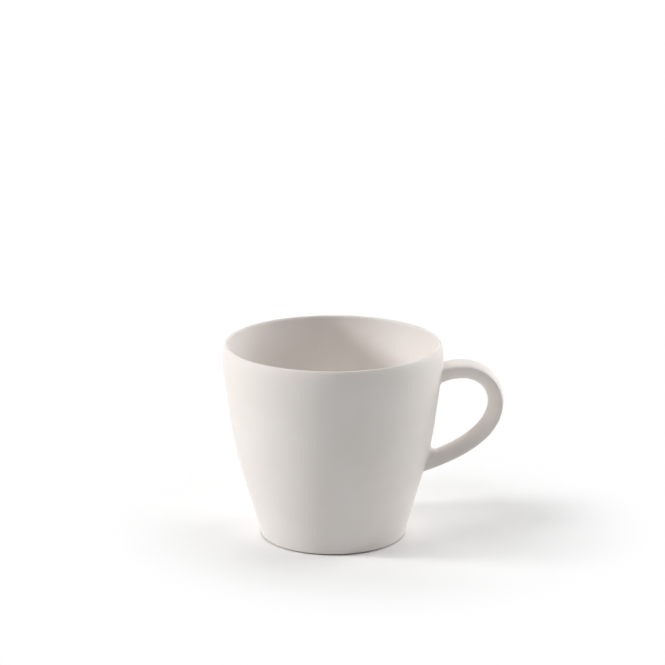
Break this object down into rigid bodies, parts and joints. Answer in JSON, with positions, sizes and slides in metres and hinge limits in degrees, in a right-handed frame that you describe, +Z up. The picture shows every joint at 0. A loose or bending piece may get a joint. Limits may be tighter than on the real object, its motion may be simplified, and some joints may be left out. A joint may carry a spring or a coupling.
{
  "type": "coffee cup",
  "caption": "Matt off-white ceramic coffee cup with a tapered bowl, soft rounded lip, turned foot ring and a rounded strap handle luted to the wall.",
  "frame": {"origin": "on the surface the cup stands on, under the middle of the whole cup, bowl and handle together; the bowl's axis is at x = -0.012", "axes": "+Z up along the bowl's axis, +X towards the handle"},
  "size_m": [0.1108, 0.0868, 0.0784],
  "materials": {
    "bowl_glaze": "matt off-white glaze",
    "handle_glaze": "matt off-white glaze",
    "slip_joint": "fired slip under matt off-white glaze"
  },
  "bodies": {
    "root": {"cup_body": "bowl_glaze", "handle": "handle_glaze", "upper_slip_joint": "slip_joint", "lower_slip_joint": "slip_joint"}
  },
  "joints": []
}
